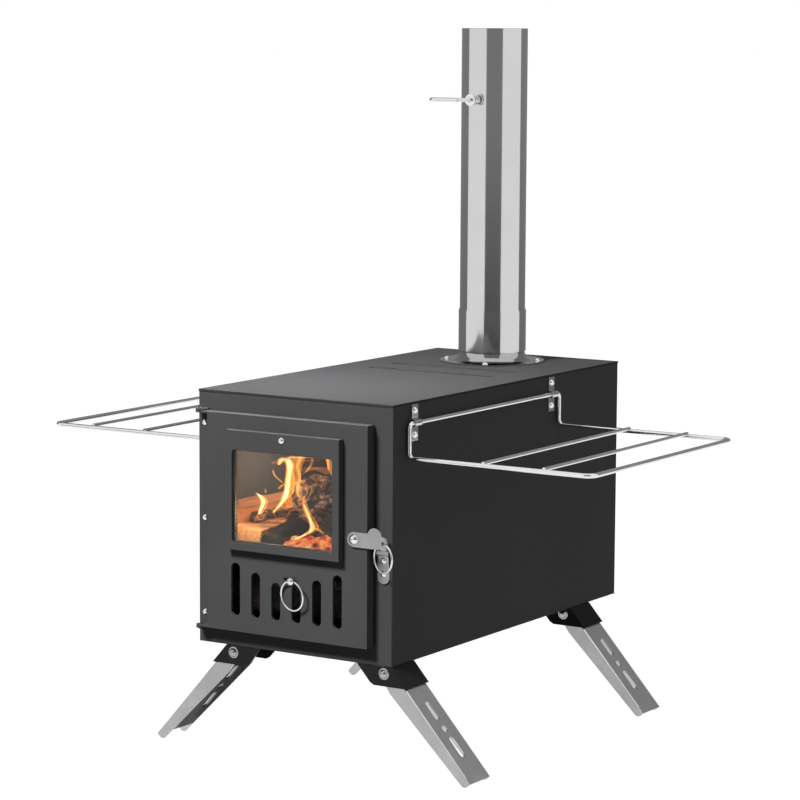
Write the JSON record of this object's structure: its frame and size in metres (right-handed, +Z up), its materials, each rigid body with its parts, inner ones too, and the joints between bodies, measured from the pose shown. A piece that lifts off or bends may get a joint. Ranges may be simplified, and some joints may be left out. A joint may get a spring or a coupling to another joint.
{
  "type": "portable tent stove",
  "caption": "Small steel wood stove with a glazed door, folding splayed legs, two folding wire side racks and a chimney pipe with a damper.",
  "frame": {"origin": "on the floor under the middle of the whole stove's box", "axes": "+Z up, -Y towards the door, +X towards the latch side; the racks mirror each other across X = 0"},
  "size_m": [0.546, 0.4066, 0.6135],
  "materials": {
    "black_coat": "matte black heat-proof coating",
    "grey_coat": "satin black heat-proof coating",
    "fire_steel": "bare hot-rolled steel",
    "flue_steel": "polished stainless steel",
    "zinc_steel": "zinc-plated steel",
    "bright_steel": "bright-plated steel",
    "clear_glass": "clear ceramic glass",
    "rope": "woven glass-fibre rope, pressed flat"
  },
  "bodies": {
    "firebox": {"body_shell": "black_coat", "cooktop": "grey_coat", "front_frame": "black_coat", "back_panel": "black_coat", "smoke_baffle": "fire_steel", "fire_grate": "fire_steel", "flue_collar": "flue_steel", "flue_screws": "bright_steel", "hinge_strip": "black_coat", "hinge_rivets": "bright_steel", "hinge_pins": "black_coat", "latch_keeper": "zinc_steel", "keeper_rivets": "bright_steel", "straps_right": "bright_steel", "straps_left": "bright_steel", "strap_screws_right": "bright_steel", "strap_screws_left": "bright_steel", "bracket_front_right": "black_coat", "bracket_front_left": "black_coat", "bracket_rear_right": "black_coat", "bracket_rear_left": "black_coat", "bolt_front_right": "bright_steel", "bolt_front_left": "bright_steel", "bolt_rear_right": "bright_steel", "bolt_rear_left": "bright_steel"},
    "door": {"door_panel": "grey_coat", "door_seal": "rope", "window_frame": "grey_coat", "window_glass": "clear_glass", "window_gasket": "rope", "window_screw": "bright_steel", "shutter_rails": "black_coat", "latch_rivet": "bright_steel"},
    "latch": {"latch_lever": "zinc_steel"},
    "latch_pull": {"latch_ring": "bright_steel"},
    "air_control": {"air_shutter": "black_coat", "air_knob": "bright_steel"},
    "air_pull": {"air_ring": "bright_steel"},
    "rack_on_right": {"rack_right": "bright_steel"},
    "rack_on_left": {"rack_left": "bright_steel"},
    "leg_1": {"leg_front_right": "zinc_steel"},
    "leg_2": {"leg_front_left": "zinc_steel"},
    "leg_3": {"leg_rear_right": "zinc_steel"},
    "leg_4": {"leg_rear_left": "zinc_steel"},
    "chimney": {"chimney_pipe": "flue_steel"},
    "damper": {"damper_plate": "flue_steel", "damper_rod": "bright_steel", "damper_spring": "bright_steel", "damper_washer": "bright_steel"}
  },
  "joints": [
    {"name": "door_hinge", "type": "hinge", "parent": "firebox", "child": "door", "pos_m": [-0.0905, -0.18965, 0.19977], "axis": [0, 0, -1], "range_deg": [0, 135]},
    {"name": "latch_turn", "type": "hinge", "parent": "door", "child": "latch", "pos_m": [0.06855, -0.1952, 0.19792], "axis": [0, -1, 0], "range_deg": [0, 50]},
    {"name": "latch_ring_swing", "type": "hinge", "parent": "latch", "child": "latch_pull", "pos_m": [0.0946, -0.19165, 0.19622], "axis": [-1, 0, 0], "range_deg": [0, 40]},
    {"name": "air_slide", "type": "slide", "parent": "door", "child": "air_control", "axis": [1, 0, 0], "range_m": [-0.0094, 0.001]},
    {"name": "air_ring_swing", "type": "hinge", "parent": "air_control", "child": "air_pull", "pos_m": [0.0085, -0.19855, 0.15712], "axis": [-1, 0, 0], "range_deg": [0, 150]},
    {"name": "rack_right_fold", "type": "hinge", "parent": "firebox", "child": "rack_on_right", "pos_m": [0.1005, -0.03665, 0.29222], "axis": [0, 1, 0], "range_deg": [-180, 0]},
    {"name": "rack_left_fold", "type": "hinge", "parent": "firebox", "child": "rack_on_left", "pos_m": [-0.1005, -0.03665, 0.29222], "axis": [0, 1, 0], "range_deg": [0, 180]},
    {"name": "leg_fold_front_right", "type": "hinge", "parent": "firebox", "child": "leg_1", "pos_m": [0.0902, -0.1649, 0.08552], "axis": [0, 1, 0], "range_deg": [0, 124]},
    {"name": "leg_fold_front_left", "type": "hinge", "parent": "firebox", "child": "leg_2", "pos_m": [-0.0621, -0.1649, 0.08552], "axis": [0, 1, 0], "range_deg": [-124, 0]},
    {"name": "leg_fold_rear_right", "type": "hinge", "parent": "firebox", "child": "leg_3", "pos_m": [0.0902, 0.13665, 0.08552], "axis": [0, 1, 0], "range_deg": [0, 124]},
    {"name": "leg_fold_rear_left", "type": "hinge", "parent": "firebox", "child": "leg_4", "pos_m": [-0.0621, 0.13665, 0.08552], "axis": [0, 1, 0], "range_deg": [-124, 0]},
    {"name": "chimney_lift", "type": "slide", "parent": "firebox", "child": "chimney", "axis": [0, 0, 1], "range_m": [0, 0.045]},
    {"name": "damper_turn", "type": "hinge", "parent": "chimney", "child": "damper", "pos_m": [0, 0.14035, 0.54952], "axis": [0, 1, 0], "range_deg": [0, 90]}
  ]
}
